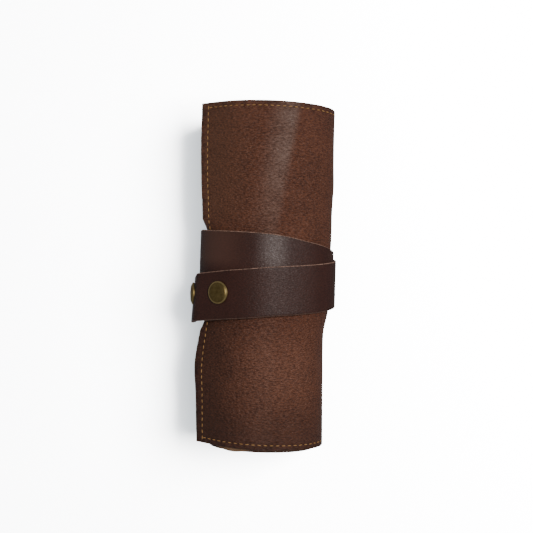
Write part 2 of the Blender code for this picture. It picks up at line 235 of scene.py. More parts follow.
def wound_point(angle, height, y, stand=0.0):
    """Point of a strap that follows the roll: height is measured from its inner face."""
    turns, part = divmod(angle, TURN)
    layer = turns - 1 + smooth((part - STEP_OUT[0]) / (STEP_OUT[1] - STEP_OUT[0]))
    point = section(angle, -(STRAP_STAND + STRAP_LEAD * layer + stand + height), 0.0)
    point.y = y
    return point


def strap_point(angle, height, y, stand=0.0):
    """Point of the strap, which lies flat where a snap grips it."""
    point = wound_point(angle, height, y, stand)
    for middle, half in FLAT_SEATS:
        flat = smooth((half + SEAT_REACH - abs(angle - middle)) / SEAT_FADE)
        if flat > 0.0:
            ends = [wound_point(middle + side * half, height, y, stand) for side in (-1, 1)]
            chord = ends[0].lerp(ends[1], (angle - middle + half) / (2 * half))
            point = point.lerp(chord, flat)
    return point


def between(low, high, count):
    """Evenly spaced values from low to high."""
    return [low + (high - low) * step / count for step in range(count + 1)]


# ---- Mesh helpers ----

def plain_object(name, bm, material):
    """Object at the origin from a finished bmesh."""
    mesh = bpy.data.meshes.new(name)
    bm.to_mesh(mesh)
    bm.free()
    mesh.shade_smooth()
    mesh.materials.append(material)
    obj = bpy.data.objects.new(name, mesh)
    bpy.context.scene.collection.objects.link(obj)
    return obj


def leather_sheet(name, alongs, acrosses, point_at, thick, scale, material, cut=(True, True)):
    """Closed sheet with rounded raw edges.

    point_at(along, across, height) places a point, height going from 0 on the inner face to thick
    on the outer one. scale turns the two places into metres, for the UV map. The sheet carries
    three attributes: rim on its cut edge, flesh on its inner face, and near, rising at its edges.
    cut says for each end whether it is a real edge, or carries on in the next piece.
    """
    round_off = thick * 0.45
    steps = (round_off / scale[0], round_off / scale[1])
    limits = ((alongs[0], alongs[-1]), (acrosses[0], acrosses[-1]))
    far = [0.0 if real else 1.0 for real in cut]
    bm = bmesh.new()
    uv = bm.loops.layers.uv.new("flat")
    rim_layer = bm.verts.layers.float.new("rim")
    flesh_layer = bm.verts.layers.float.new("flesh")
    near_layer = bm.verts.layers.float.new("near")
    flat = {}

    def add(along, across, height, rim, flesh):
        vert = bm.verts.new(point_at(along, across, height))
        edge = min((along - limits[0][0]) * scale[0] + far[0], (limits[0][1] - along) * scale[0] + far[1],
                   (across - limits[1][0]) * scale[1], (limits[1][1] - across) * scale[1])
        vert[rim_layer] = rim
        vert[flesh_layer] = flesh
        vert[near_layer] = math.exp(-max(edge, 0.0) / NEAR_REACH)
        flat[vert] = (along * scale[0], across * scale[1])
        return vert

    def clamp(value, axis, ends=(True, True)):
        low, high = limits[axis]
        return min(max(value, low + steps[axis] * ends[0]), high - steps[axis] * ends[1])

    inner_alongs = [clamp(value, 0, cut) for value in alongs]
    inner_acrosses = [clamp(value, 1) for value in acrosses]
    faces = []
    for height, flesh in ((thick, 0.0), (0.0, 1.0)):
        faces.append([[add(a, c, height, 0.0, flesh) for c in inner_acrosses] for a in inner_alongs])
    last_a = len(alongs) - 1
    last_c = len(acrosses) - 1
    for grid, flip in zip(faces, (False, True)):
        for i in range(last_a):
            for j in range(last_c):
                ring = [grid[i][j], grid[i + 1][j], grid[i + 1][j + 1], grid[i][j + 1]]
                bm.faces.new(ring[::-1] if flip else ring)
    border = [(i, 0) for i in range(last_a)] + [(last_a, j) for j in range(last_c)]
    border += [(i, last_c) for i in range(last_a, 0, -1)] + [(0, j) for j in range(last_c, 0, -1)]
    rings = [[faces[0][i][j] for i, j in border]]
    for bend in (45.0, 90.0, 135.0):
        reach = math.sin(math.radians(bend))
        height = thick * (0.5 + 0.5 * math.cos(math.radians(bend)))
        ring = []
        for i, j in border:
            out_a = -cut[0] if i == 0 else (cut[1] if i == last_a else 0)
            out_c = -1 if j == 0 else (1 if j == last_c else 0)
            ring.append(add(inner_alongs[i] + out_a * steps[0] * reach,
                            inner_acrosses[j] + out_c * steps[1] * reach, height,
                            1.0 if out_a or out_c else 0.0, 0.5))
        rings.append(ring)
    rings.append([faces[1][i][j] for i, j in border])
    for upper, lower in zip(rings, rings[1:]):
        for k in range(len(border)):
            n = (k + 1) % len(border)
            bm.faces.new((upper[k], lower[k], lower[n], upper[n]))
    for face in bm.faces:
        for loop in face.loops:
            loop[uv].uv = flat[loop.vert]
    bmesh.ops.recalc_face_normals(bm, faces=bm.faces)
    sheet = plain_object(name, bm, material)
    sheet.data.set_sharp_from_angle(angle=math.radians(62))
    return sheet


def turned(name, profile, seat, material, facets=64):
    """Turned part from (radius, height) points on a seat frame whose Z points outwards."""
    bm = bmesh.new()
    rings = []
    for radius, height in profile:
        if radius == 0.0:
            rings.append([bm.verts.new((0.0, 0.0, height))])
            continue
        turns = [2.0 * math.pi * step / facets for step in range(facets)]
        rings.append([bm.verts.new((radius * math.cos(t), radius * math.sin(t), height)) for t in turns])
    for low, high in zip(rings, rings[1:]):
        for step in range(facets):
            after = (step + 1) % facets
            corners = [low[step % len(low)], low[after % len(low)]]
            corners += [high[after % len(high)], high[step % len(high)]]
            bm.faces.new(list(dict.fromkeys(corners)))
    bmesh.ops.transform(bm, matrix=seat, verts=bm.verts)
    bmesh.ops.recalc_face_normals(bm, faces=bm.faces)
    obj = plain_object(name, bm, material)
    obj.data.set_sharp_from_angle(angle=math.radians(50))
    return obj


def seat_frame(angles, height, y, stand=0.0):
    """Frame on the strap between two polar angles, Z pointing out and Y along the case."""
    start, stop = (strap_point(angle, height, y, stand) for angle in angles)
    middle = strap_point(sum(angles) / 2, height, y, stand)
    y_axis = Vector((0.0, 1.0, 0.0))
    z_axis = (start - stop).cross(y_axis).normalized()
    if z_axis.dot(middle - Vector((CENTRE_X, y, CENTRE_Z))) < 0.0:
        z_axis.negate()
    seat = Matrix.Identity(4)
    for column, axis in enumerate((y_axis.cross(z_axis), y_axis, z_axis)):
        seat.col[column] = (*axis, 0.0)
    seat.col[3] = (*middle, 1.0)
    return seat


# ---- Materials ----

class Shader:
    """A material or node group being wired up."""

    def __init__(self, tree):
        self.tree = tree

    def add(self, kind, _settings=None, **inputs):
        node = self.tree.nodes.new(kind)
        for key, value in (_settings or {}).items():
            setattr(node, key, value)
        for key, value in inputs.items():
            self.put(node.inputs[key.replace("_", " ")], value)
        return node

    def put(self, socket, value):
        if isinstance(value, bpy.types.NodeSocket):
            self.tree.links.new(value, socket)
        else:
            socket.default_value = value

    def maths(self, operation, a, b=0.0, c=0.0):
        node = self.tree.nodes.new("ShaderNodeMath")
        node.operation = operation
        for socket, value in zip(node.inputs, (a, b, c)):
            self.put(socket, value)
        return node.outputs[0]

    def mix(self, share, low, high, kind="MIX"):
        node = self.tree.nodes.new("ShaderNodeMix")
        node.data_type = "RGBA"
        node.blend_type = kind
        for socket, value in ((node.inputs[0], share), (node.inputs[6], low), (node.inputs[7], high)):
            self.put(socket, value)
        return node.outputs[2]

    def ramp(self, value, low, high, start=0.0, stop=1.0):
        node = self.add("ShaderNodeMapRange", {"interpolation_type": "SMOOTHSTEP"})
        for socket, item in zip(node.inputs, (value, low, high, start, stop)):
            self.put(socket, item)
        return node.outputs[0]

    def noise(self, vector, scale, detail=3.0, roughness=0.55):
        made = self.add("ShaderNodeTexNoise", Vector=vector, Scale=scale, Detail=detail, Roughness=roughness)
        return made.outputs[0]


def new_group(name, ins, outs):
    """Shader node group with named sockets: returns its builder, input node and output node."""
    tree = bpy.data.node_groups.new(name, "ShaderNodeTree")
    for socket, kind in ins:
        tree.interface.new_socket(socket, in_out="INPUT", socket_type="NodeSocket" + kind)
    for socket, kind in outs:
        tree.interface.new_socket(socket, in_out="OUTPUT", socket_type="NodeSocket" + kind)
    return Shader(tree), tree.nodes.new("NodeGroupInput"), tree.nodes.new("NodeGroupOutput")


def leather_grain():
    """Pebbled leather grain: a height, and a fine speckle for colour and gloss."""
    kit, given, out = new_group(
        "leather_grain",
        (("Place", "Vector"), ("Pebble", "Float"), ("Fine", "Float")),
        (("Height", "Float"), ("Speckle", "Float"), ("Cloud", "Float")))
    place = given.outputs["Place"]
    bend = kit.add("ShaderNodeTexNoise", Vector=place, Scale=900.0, Detail=2.0)
    shifted = kit.add("ShaderNodeVectorMath", {"operation": "SCALE"})
    kit.put(shifted.inputs[0], bend.outputs["Color"])
    shifted.inputs["Scale"].default_value = 0.0004
    warped = kit.add("ShaderNodeVectorMath", {"operation": "ADD"})
    kit.put(warped.inputs[0], place)
    kit.put(warped.inputs[1], shifted.outputs[0])
    drawn = kit.add("ShaderNodeMapping", Vector=warped.outputs[0], Scale=(0.66, 1.25, 1.0)).outputs[0]
    cells = kit.add("ShaderNodeTexVoronoi", {"feature": "SMOOTH_F1"}, Vector=drawn,
                    Scale=given.outputs["Pebble"], Smoothness=0.3)
    pores = kit.noise(place, given.outputs["Fine"], 4.0, 0.62)
    folds = kit.noise(place, 430.0, 3.0)
    lying = kit.add("ShaderNodeMapping", Vector=warped.outputs[0], Scale=(0.55, 1.7, 1.0))
    creases = kit.add("ShaderNodeTexNoise", {"noise_type": "RIDGED_MULTIFRACTAL", "normalize": True},
                      Vector=lying.outputs[0], Scale=330.0, Detail=3.0)
    crease = kit.ramp(creases.outputs[0], 0.45, 0.85)
    curls = kit.noise(drawn, kit.maths("MULTIPLY", given.outputs["Pebble"], 0.95), 3.0, 0.62)
    pebble = kit.maths("MULTIPLY", cells.outputs["Distance"], -0.9)
    height = kit.maths("ADD", pebble, kit.maths("MULTIPLY", pores, 0.5))
    height = kit.maths("ADD", height, kit.maths("MULTIPLY", curls, 1.1))
    height = kit.maths("ADD", height, kit.maths("MULTIPLY", folds, 0.6))
    height = kit.maths("ADD", height, kit.maths("MULTIPLY", crease, -0.5))
    kit.put(out.inputs["Height"], height)
    speckle = kit.maths("ADD", kit.maths("MULTIPLY", curls, 0.75), kit.maths("MULTIPLY", pores, 0.25))
    speckle = kit.ramp(speckle, 0.36, 0.64)
    smoother = kit.maths("MULTIPLY_ADD", crease, -0.35, 1.0)
    kit.put(out.inputs["Speckle"], kit.maths("MULTIPLY", speckle, smoother))
    kit.put(out.inputs["Cloud"], kit.ramp(kit.noise(place, 55.0, 4.0, 0.6), 0.3, 0.7))
    return kit.tree


def raw_edge():
    """Masks of a cut leather sheet: its raw rim, its flesh side, and the handled zone at its edges."""
    kit, given, out = new_group(
        "raw_edge", (("Place", "Vector"), ("Worn", "Float")),
        (("Rim", "Float"), ("Flesh", "Float"), ("Wear", "Float")))
    rim = kit.add("ShaderNodeAttribute", {"attribute_name": "rim"}).outputs["Fac"]
    flesh = kit.add("ShaderNodeAttribute", {"attribute_name": "flesh"}).outputs["Fac"]
    near = kit.add("ShaderNodeAttribute", {"attribute_name": "near"}).outputs["Fac"]
    ragged = kit.noise(given.outputs["Place"], 1500.0, 3.0, 0.7)
    torn = kit.maths("ADD", rim, kit.maths("MULTIPLY_ADD", ragged, 0.5, -0.25))
    kit.put(out.inputs["Rim"], kit.ramp(torn, 0.35, 0.75))
    kit.put(out.inputs["Flesh"], kit.ramp(flesh, 0.55, 0.95))
    patchy = kit.maths("MULTIPLY", near, kit.ramp(kit.noise(given.outputs["Place"], 240.0), 0.35, 0.7))
    kit.put(out.inputs["Wear"], kit.maths("MULTIPLY", patchy, given.outputs["Worn"]))
    return kit.tree


def start_material(name, roughness, metallic=0.0):
    """New Principled material, with its builder and its shader node."""
    material = bpy.data.materials.new(name)
    material.use_nodes = True
    kit = Shader(material.node_tree)
    shader = material.node_tree.nodes["Principled BSDF"]
    shader.inputs["Roughness"].default_value = roughness
    shader.inputs["Metallic"].default_value = metallic
    return material, kit, shader


def flat_place(kit):
    """Place on the leather in metres, as if it lay flat."""
    return kit.add("ShaderNodeUVMap", {"uv_map": "flat"}).outputs[0]


def bump(kit, shader, height, strength, distance):
    """Relief of the surface from a height."""
    made = kit.add("ShaderNodeBump", Height=height, Strength=strength, Distance=distance)
    kit.put(shader.inputs["Normal"], made.outputs[0])


GRAIN = leather_grain()
EDGES = raw_edge()


def leather(name, dark, light, rim, flesh, rough, pebble, depth, worn, sheen, painted_light_step=None):
    """Finished leather: grained outside, raw cut rim and suede inside.

    rough is its roughness, pebble the grain's fineness, depth its relief in metres and worn its
    darkening near the edges. The last, optional step adds painted highlights and painted shade to the
    colour, with some patches of tone.
    """
    material, kit, shader = start_material(name, 0.5)
    place = flat_place(kit)
    grain = kit.add("ShaderNodeGroup", {"node_tree": GRAIN}, Place=place, Pebble=pebble, Fine=2600.0)
    edges = kit.add("ShaderNodeGroup", {"node_tree": EDGES}, Place=place, Worn=worn)
    cloud = grain.outputs["Cloud"]
    speckle = grain.outputs["Speckle"]
    tone = kit.maths("ADD", kit.maths("MULTIPLY", cloud, 0.2), kit.maths("MULTIPLY", speckle, 0.8))
    colour = kit.mix(tone, (*dark, 1.0), (*light, 1.0))
    gloss = kit.maths("MULTIPLY_ADD", speckle, -0.20, rough + 0.10)
    # Painted highlights and painted shade, with some patches of tone, are mixed into the colour here.
    if painted_light_step:
        colour, gloss = painted_light_step(kit, colour, gloss, cloud, speckle)
    colour = kit.mix(edges.outputs["Wear"], colour, (*[c * 0.55 for c in dark], 1.0))
    colour = kit.mix(edges.outputs["Flesh"], colour, (*flesh, 1.0))
    across = kit.add("ShaderNodeSeparateXYZ", Vector=place).outputs["Y"]
    # Painted shade: the raw rim is darker towards the low side of the sheet (low across), broken up by the
    # grain's speckle.
    rim_speckle_and_painted_shade = kit.maths("MULTIPLY", speckle, kit.ramp(across, -0.012, 0.012, 0.25, 1.0))
    rim_tone = kit.mix(rim_speckle_and_painted_shade, (*[c * 0.22 for c in rim], 1.0), (*rim, 1.0))
    colour = kit.mix(edges.outputs["Rim"], colour, rim_tone)
    kit.put(shader.inputs["Base Color"], colour)
    matt = kit.maths("MAXIMUM", edges.outputs["Rim"], edges.outputs["Flesh"])
    kit.put(shader.inputs["Roughness"], kit.maths("MULTIPLY_ADD", matt, 0.3, gloss))
    shader.inputs["Specular IOR Level"].default_value = 0.34
    shader.inputs["Sheen Weight"].default_value = sheen
    shader.inputs["Sheen Roughness"].default_value = 0.45
    shader.inputs["Sheen Tint"].default_value = (0.86, 0.80, 0.76, 1.0)
    bump(kit, shader, grain.outputs["Height"], 0.75, depth)
    return material


def crown_painted_light_and_shade(kit, colour, gloss, cloud, speckle):
    """Painted light on the roll: a painted highlight as a pale greyish band over the crown, also made
    glossier; painted shade on the lower left side; a lighter, warmer patch of painted light on the lower
    right; lighter on the upper left and darker towards the foot.
    """
    place = kit.add("ShaderNodeTexCoord").outputs["Object"]
    parts = kit.add("ShaderNodeSeparateXYZ", Vector=place)
    ahead = kit.maths("MAXIMUM", kit.maths("SUBTRACT", parts.outputs["Y"], 0.030), 0.0)
    drift = kit.maths("MULTIPLY_ADD", ahead, 0.150, CENTRE_X + 0.0005)
    off = kit.maths("SUBTRACT", parts.outputs["X"], drift)
    # Painted highlight: a pale greyish band over the crown; the same mask also makes it glossier.
    painted_crown_highlight = kit.maths("MULTIPLY", kit.ramp(off, -0.016, 0.001), kit.ramp(off, 0.002, 0.008, 1.0, 0.0))
    painted_crown_highlight = kit.maths("MULTIPLY", painted_crown_highlight, kit.maths("MULTIPLY_ADD", speckle, 1.1, 0.45))
    above = kit.ramp(parts.outputs["Y"], -0.02, 0.03, 0.25, 1.0)
    painted_crown_highlight = kit.maths("MULTIPLY", painted_crown_highlight, above)
    upper = kit.ramp(parts.outputs["Z"], CENTRE_Z, CENTRE_Z + 0.012)
    painted_crown_highlight = kit.maths("MULTIPLY", painted_crown_highlight, upper)
    painted_crown_highlight = kit.maths("MULTIPLY", painted_crown_highlight, kit.maths("MULTIPLY_ADD", cloud, 0.5, 0.3))
    painted_crown_highlight = kit.maths("MULTIPLY", painted_crown_highlight, kit.ramp(parts.outputs["Y"], 0.035, 0.095, 0.45, 1.0))
    colour = kit.mix(kit.maths("MULTIPLY", painted_crown_highlight, 0.62), colour, (0.30, 0.225, 0.19, 1.0))
    # Painted shade: the roll's lower left side is darkened.
    low = kit.ramp(parts.outputs["Y"], -0.03, 0.0, 0.45, 0.0)
    left = kit.ramp(parts.outputs["X"], CENTRE_X - 0.040, CENTRE_X - 0.002, 1.0, 0.0)
    colour = kit.mix(kit.maths("MULTIPLY", left, low), colour, (0.030, 0.013, 0.008, 1.0))
    # Painted light: a lighter, warmer patch on the roll's lower right.
    faded_and_lit_patch = kit.add("ShaderNodeVectorMath", {"operation": "DISTANCE"})
    kit.put(faded_and_lit_patch.inputs[0], place)
    faded_and_lit_patch.inputs[1].default_value = (CENTRE_X + 0.010, -0.058, CENTRE_Z + CROWN)
    painted_lit_patch = kit.ramp(faded_and_lit_patch.outputs["Value"], 0.004, 0.036, 0.40, 0.0)
    painted_lit_patch = kit.maths("MULTIPLY", painted_lit_patch, kit.maths("MULTIPLY_ADD", speckle, 1.0, 0.15))
    colour = kit.mix(painted_lit_patch, colour, (0.30, 0.125, 0.075, 1.0))
    flap = kit.maths("MULTIPLY", left, kit.ramp(parts.outputs["Y"], 0.01, 0.05, 0.0, 0.28))
    colour = kit.mix(flap, colour, (0.23, 0.110, 0.060, 1.0))
    foot = kit.ramp(parts.outputs["Y"], -0.108, -0.065, 0.45, 0.0)
    colour = kit.mix(foot, colour, (0.040, 0.017, 0.011, 1.0))
    return colour, kit.maths("MULTIPLY_ADD", painted_crown_highlight, -0.12, gloss)


def strap_painted_highlight_and_fade(kit, colour, gloss, cloud, speckle):
    """Painted highlight: a pale patch on the strap over the crown, also made glossier; and browner where the
    flap side has faded.
    """
    place = kit.add("ShaderNodeTexCoord").outputs["Object"]
    parts = kit.add("ShaderNodeSeparateXYZ", Vector=place)
    # Painted highlight on the strap over the crown; the same mask also makes it glossier.
    off = kit.maths("ABSOLUTE", kit.maths("SUBTRACT", parts.outputs["X"], CENTRE_X + 0.003))
    upper = kit.ramp(parts.outputs["Z"], CENTRE_Z, CENTRE_Z + 0.012)
    above = kit.maths("MULTIPLY", kit.ramp(parts.outputs["Y"], 0.002, 0.012, 0.1, 1.0), upper)
    painted_strap_highlight = kit.maths("MULTIPLY", kit.ramp(off, 0.0, 0.013, 1.0, 0.0), above)
    painted_strap_highlight = kit.maths("MULTIPLY", painted_strap_highlight, kit.maths("MULTIPLY_ADD", speckle, 0.8, 0.5))
    colour = kit.mix(kit.maths("MULTIPLY", painted_strap_highlight, 0.5), colour, (0.20, 0.155, 0.14, 1.0))
    faded_and_lit_patch = kit.ramp(parts.outputs["X"], CENTRE_X - 0.034, CENTRE_X - 0.008, 0.75, 0.0)
    colour = kit.mix(kit.maths("MULTIPLY", faded_and_lit_patch, above), colour, (0.125, 0.058, 0.040, 1.0))
    return colour, kit.maths("MULTIPLY_ADD", painted_strap_highlight, -0.15, gloss)


def thread_material():
    """Golden tan waxed thread with a twist."""
    material, kit, shader = start_material("waxed_thread", 0.6)
    place = kit.add("ShaderNodeTexCoord").outputs["Object"]
    twist = kit.add("ShaderNodeTexWave", {"wave_type": "BANDS", "bands_direction": "DIAGONAL"},
                    Vector=place, Scale=900.0, Distortion=1.5)
    colour = kit.mix(kit.noise(place, 420.0), (0.28, 0.120, 0.036, 1.0), (0.72, 0.42, 0.16, 1.0))
    kit.put(shader.inputs["Base Color"], colour)
    bump(kit, shader, twist.outputs["Fac"], 0.5, 0.0001)
    return material


def antique_brass():
    """Dark bronze patina that is rubbed brighter on raised and rim places."""
    material, kit, shader = start_material("antique_brass", 0.4, 1.0)
    place = kit.add("ShaderNodeTexCoord").outputs["Object"]
    rub = kit.add("ShaderNodeAttribute", {"attribute_name": "rub"}).outputs["Fac"]
    cloud = kit.noise(place, 420.0, 5.0, 0.65)
    fine = kit.noise(place, 3200.0, 4.0, 0.7)
    patina = kit.mix(kit.ramp(cloud, 0.25, 0.8), (0.17, 0.115, 0.040, 1.0), (0.29, 0.205, 0.078, 1.0))
    bright = kit.maths("MULTIPLY", rub, kit.maths("MULTIPLY_ADD", cloud, 0.6, 0.35))
    kit.put(shader.inputs["Base Color"], kit.mix(bright, patina, (0.75, 0.56, 0.25, 1.0)))
    kit.put(shader.inputs["Roughness"], kit.maths("MULTIPLY_ADD", fine, 0.22, 0.30))
    bump(kit, shader, kit.maths("ADD", fine, cloud), 0.25, 0.00008)
    return material


ROLL_LEATHER = leather(
    "brown_roll_leather", dark=(0.056, 0.0165, 0.0088), light=(0.205, 0.071, 0.036),
    rim=(0.36, 0.19, 0.11), flesh=(0.22, 0.13, 0.08), rough=0.42, pebble=1150.0, depth=0.00080,
    worn=1.0, sheen=0.03, painted_light_step=crown_painted_light_and_shade)
STRAP_LEATHER = leather(
    "dark_strap_leather", dark=(0.031, 0.0092, 0.0063), light=(0.070, 0.0225, 0.0155),
    rim=(0.60, 0.36, 0.27), flesh=(0.12, 0.065, 0.045), rough=0.47, pebble=1700.0, depth=0.00020,
    worn=0.25, sheen=0.01, painted_light_step=strap_painted_highlight_and_fade)
LINING_LEATHER = leather(
    "suede_lining", dark=(0.19, 0.105, 0.058), light=(0.30, 0.175, 0.10),
    rim=(0.26, 0.15, 0.085), flesh=(0.30, 0.18, 0.105), rough=0.85, pebble=1900.0, depth=0.00012,
    worn=0.2, sheen=0.25)
THREAD = thread_material()
BRASS = antique_brass()


# ---- The rolled sheets ----

FREE_SCALE = 0.00062       # metres of sheet per degree of winding on the flap


def arc_lengths(winds, depth):
    """Distance along the sheet at each winding."""
    points = [roll_point(wind, depth, 0.08) for wind in winds]
    total = 0.0
    lengths = [0.0]
    for before, after in zip(points, points[1:]):
        total += (after - before).length
        lengths.append(total)
    return lengths


def sheet_places(start, stop, per_turn):
    """Winding stations: dense at the stitched front edge, even over the rest."""
    count = max(round((stop - start) * per_turn / TURN), 2)
    marks = between(start, stop, count)
    if start < 0.0:
        near_stitch = between(start + 6.5, start + 12.0, 8)
        marks = [start, start + 2.0] + near_stitch + [mark for mark in marks if mark > start + 13.5]
    return marks


def length_places(low, high, count, stitched=True):
    """Stations along Y, dense round the two stitched edges."""
    if not stitched:
        return between(low, high, count)
    close = [0.0, 0.0012, 0.0024, 0.0029, 0.0033, 0.0037, 0.0041, 0.0046, 0.0058]
    middle = between(low + 0.0075, high - 0.0075, count)
    return [low + step for step in close] + middle + [high - step for step in reversed(close)]


def seam_groove(wind, y):
    """How far the stitching pulls the leather in."""
    from_front = (wind - FREE_WIND) * FREE_SCALE
    from_end = min(y - Y_FOOT, Y_TOP - y)
    if min(from_front, from_end) <= STITCH_INSET - 0.001:
        return 0.0
    off = (from_front - FRONT_INSET, from_end - STITCH_INSET)
    return GROOVE_DEPTH * max(math.exp(-(away / GROOVE_HALF) ** 2) for away in off)


def make_sheet(name, start, stop, low, high, depth, thick, per_turn, count, material, groove=False,
               peek=0.0):
    """One of the case's rolled sheets, and its length.

    It runs between two windings and two places along Y, depth below the roll's outside. groove
    presses the stitching into it, and peek lets its foot slip out past the sheet that covers it.
    """
    def place(along, across, height):
        down = depth + thick - height
        if groove and height > thick * 0.9:
            down += seam_groove(along, across)
        slip = peek * math.exp(-((along - 22.0) / 20.0) ** 2) * smooth((low + 0.02 - across) / 0.02)
        return roll_point(along, down, across - slip)

    winds = sheet_places(start, stop, per_turn)
    ys = length_places(low, high, count, groove)
    length = arc_lengths(winds, depth)[-1]
    sheet = leather_sheet(name, winds, ys, place, thick, (length / (stop - start), 1.0), material)
    return sheet, length


panel, panel_length = make_sheet(
    "rolled_panel", FREE_WIND, WIND_END, Y_FOOT, Y_TOP, 0.0, PANEL_THICK,
    per_turn=84, count=76, material=ROLL_LEATHER, groove=True)
lining, lining_length = make_sheet(
    "rolled_lining", FREE_WIND + 1.2, WIND_END - 1.2, Y_FOOT + LINING_INSET, Y_TOP - LINING_INSET,
    LINING_DEPTH, LINING_THICK, per_turn=60, count=50, material=LINING_LEATHER, peek=0.0030)
pocket, pocket_length = make_sheet(
    "rolled_pocket", POCKET_WIND[0], POCKET_WIND[1], Y_FOOT + POCKET_FOOT, POCKET_TOP,
    POCKET_DEPTH, POCKET_THICK, per_turn=60, count=34, material=LINING_LEATHER)


# ---- Stitching ----

def stitch_tree():
    """Stitches along an edge path: rounded threads at an even pitch, each a little off line."""
    tree = bpy.data.node_groups.new("stitch_run", "GeometryNodeTree")
    face = tree.interface
    face.new_socket("Geometry", in_out="INPUT", socket_type="NodeSocketGeometry")
    face.new_socket("Pitch", in_out="INPUT", socket_type="NodeSocketFloat")
    face.new_socket("Stitch", in_out="INPUT", socket_type="NodeSocketFloat")
    face.new_socket("Thread", in_out="INPUT", socket_type="NodeSocketFloat")
    face.new_socket("Finish", in_out="INPUT", socket_type="NodeSocketMaterial")
    face.new_socket("Geometry", in_out="OUTPUT", socket_type="NodeSocketGeometry")
    kit = Shader(tree)
    given = tree.nodes.new("NodeGroupInput")
    out = tree.nodes.new("NodeGroupOutput")
    path = kit.add("GeometryNodeMeshToCurve", Mesh=given.outputs["Geometry"])
    even = kit.add("GeometryNodeResampleCurve", {"mode": "LENGTH"}, Curve=path.outputs[0])
    kit.put(even.inputs["Length"], given.outputs["Pitch"])
    ball = kit.add("GeometryNodeMeshUVSphere", Segments=8, Rings=6, Radius=1.0)
    size = kit.add("ShaderNodeCombineXYZ")
    kit.put(size.inputs[0], kit.maths("MULTIPLY", given.outputs["Stitch"], 0.5))
    kit.put(size.inputs[1], given.outputs["Thread"])
    kit.put(size.inputs[2], given.outputs["Thread"])
    tangent = kit.add("GeometryNodeInputTangent")
    wobble = kit.add("FunctionNodeRandomValue", {"data_type": "FLOAT_VECTOR"}, Seed=4)
    wobble.inputs[0].default_value = (-0.13, -0.13, -0.13)
    wobble.inputs[1].default_value = (0.13, 0.13, 0.13)
    lean = kit.add("ShaderNodeVectorMath", {"operation": "ADD"})
    kit.put(lean.inputs[0], tangent.outputs[0])
    kit.put(lean.inputs[1], wobble.outputs[0])
    turn = kit.add("FunctionNodeAlignEulerToVector", {"axis": "X"}, Vector=lean.outputs[0])
    placed = kit.add("GeometryNodeInstanceOnPoints", Points=even.outputs[0], Instance=ball.outputs[0],
                     Rotation=turn.outputs[0], Scale=size.outputs[0])
    real = kit.add("GeometryNodeRealizeInstances", Geometry=placed.outputs[0])
    soft = kit.add("GeometryNodeSetShadeSmooth", Geometry=real.outputs[0])
    done = kit.add("GeometryNodeSetMaterial", Geometry=soft.outputs[0], Material=given.outputs["Finish"])
    kit.put(out.inputs[0], done.outputs[0])
    return tree


STITCHES = stitch_tree()


def baked(name, obj, tree, values):
    """Plain mesh object from a node tree run on obj, which is removed."""
    run = obj.modifiers.new("run", "NODES")
    run.node_group = tree
    for item in tree.interface.items_tree:
        if item.in_out == "INPUT" and item.name in values:
            run[item.identifier] = values[item.name]
    bpy.context.view_layer.update()
    mesh = bpy.data.meshes.new_from_object(obj.evaluated_get(bpy.context.evaluated_depsgraph_get()))
    mesh.name = name
    bpy.data.objects.remove(obj)
    made = bpy.data.objects.new(name, mesh)
    bpy.context.scene.collection.objects.link(made)
    return made


def stitch_run(name, points, thread=THREAD_RADIUS):
    """Row of stitches along a line of points."""
    mesh = bpy.data.meshes.new(name)
    mesh.from_pydata(points, [(i, i + 1) for i in range(len(points) - 1)], [])
    path = bpy.data.objects.new(name + "_path", mesh)
    bpy.context.scene.collection.objects.link(path)
    return baked(name, path, STITCHES, {"Pitch": STITCH_PITCH, "Stitch": STITCH_LENGTH,
                                        "Thread": thread, "Finish": THREAD})


SUNK = 0.00006                            # the thread's centre below the leather's face
stitch_wind = FREE_WIND + FRONT_INSET / FREE_SCALE
front_line = [roll_point(stitch_wind, SUNK, y)
              for y in between(Y_FOOT + STITCH_INSET, Y_TOP - STITCH_INSET, 160)]
front_stitches = stitch_run("front_edge_stitches", front_line)
end_winds = between(stitch_wind + 3.0, WIND_END - 6.0, 420)
top_stitches = stitch_run("top_edge_stitches",
                          [roll_point(wind, SUNK, Y_TOP - STITCH_INSET) for wind in end_winds])
bottom_stitches = stitch_run("bottom_edge_stitches",
                             [roll_point(wind, SUNK, Y_FOOT + STITCH_INSET) for wind in end_winds])
for index in range(POCKET_SEAMS):
    seam_wind = POCKET_WIND[0] + (POCKET_WIND[1] - POCKET_WIND[0]) * (index + 0.5) / POCKET_SEAMS
    seam_depth = POCKET_DEPTH + POCKET_THICK + 0.0001
    line = [roll_point(seam_wind, seam_depth, y)
            for y in between(Y_FOOT + 2 * POCKET_FOOT, POCKET_TOP - POCKET_FOOT, 60)]
    seam = stitch_run(f"pocket_seam_stitches_{index + 1}", line, SEAM_RADIUS)
    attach(seam, "case")
    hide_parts(f"pocket_seam_{index + 1}")


# ---- The strap ----

STRAP_SCALE = 0.00060      # metres of strap per degree round the roll
TIP_SCALE = 0.00047        # and at the tip, on the roll's side


def strap_half(angle):
    """Half width of the strap, rounded off at the tip."""
    left = (TIP_END - angle) * TIP_SCALE
    if left >= TIP_CORNER:
        return STRAP_WIDE / 2
    fall = 1.0 - max(left, 0.0) / TIP_CORNER
    return STRAP_WIDE / 2 - TIP_CORNER * (1.0 - math.sqrt(max(1.0 - fall * fall, 0.0)))


